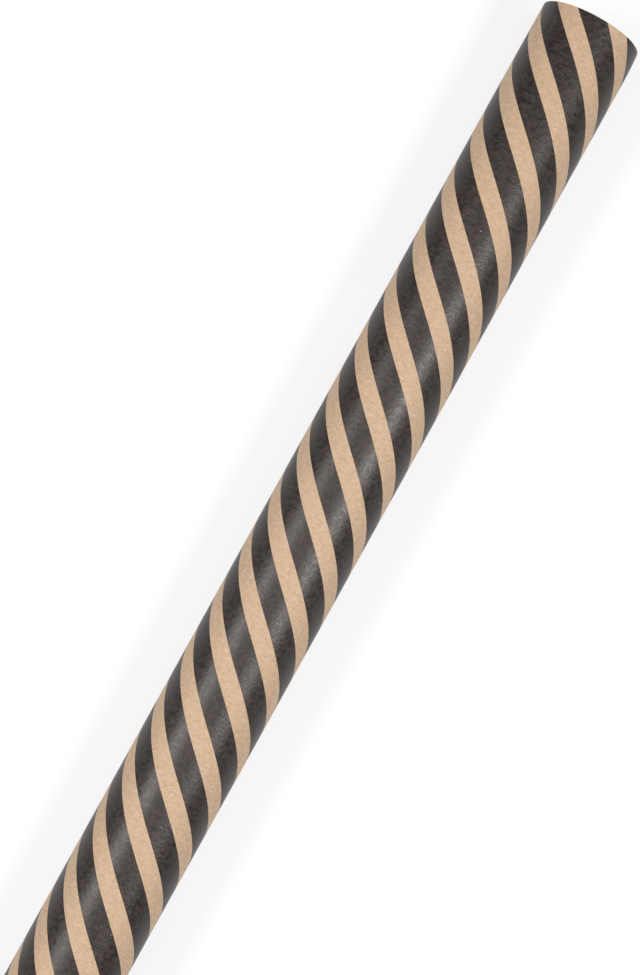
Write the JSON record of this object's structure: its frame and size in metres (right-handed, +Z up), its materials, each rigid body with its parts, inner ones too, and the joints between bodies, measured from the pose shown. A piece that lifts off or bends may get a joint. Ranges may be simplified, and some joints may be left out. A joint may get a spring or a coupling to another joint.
{
  "type": "wrapping paper roll",
  "caption": "Roll of gift wrapping paper: a sheet printed with slanting dark stripes, wound in a spiral on a cardboard core, with its free edge taped down.",
  "frame": {"origin": "middle of the strip along the underside that the roll rests on", "axes": "+X along the roll, +Y towards the side that carries the free edge, +Z up"},
  "size_m": [0.7, 0.0455, 0.0452],
  "materials": {
    "printed_paper": "uncoated kraft paper with matte black slanting stripes on its outer face",
    "core_board": "plain grey-brown paperboard",
    "start_tape": "double-sided film tape",
    "clear_tape": "satin clear film tape"
  },
  "bodies": {
    "roll": {"core_inner_ply": "core_board", "core_middle_ply": "core_board", "core_outer_ply": "core_board", "start_tape": "start_tape", "wound_sheet": "printed_paper", "outer_turn": "printed_paper"},
    "tail": {"sheet_tail": "printed_paper"},
    "tape_left": {"tail_tape_left": "clear_tape"},
    "tape_right": {"tail_tape_right": "clear_tape"}
  },
  "joints": [
    {"name": "tail_lift", "type": "hinge", "parent": "roll", "child": "tail", "pos_m": [0, 0.0228, 0.0226], "axis": [1, 0, 0], "range_deg": [0, 90], "stiffness_Nm_per_rad": 0.0003, "springref_deg": -28.65},
    {"name": "tape_left_peel", "type": "hinge", "parent": "tail", "child": "tape_left", "pos_m": [-0.2, 0.02089, 0.0133], "axis": [1, 0, 0], "range_deg": [0, 120], "stiffness_Nm_per_rad": 0.00001, "springref_deg": -28.65},
    {"name": "tape_right_peel", "type": "hinge", "parent": "tail", "child": "tape_right", "pos_m": [0.2, 0.02089, 0.0133], "axis": [1, 0, 0], "range_deg": [0, 120], "stiffness_Nm_per_rad": 0.00001, "springref_deg": -28.65}
  ]
}
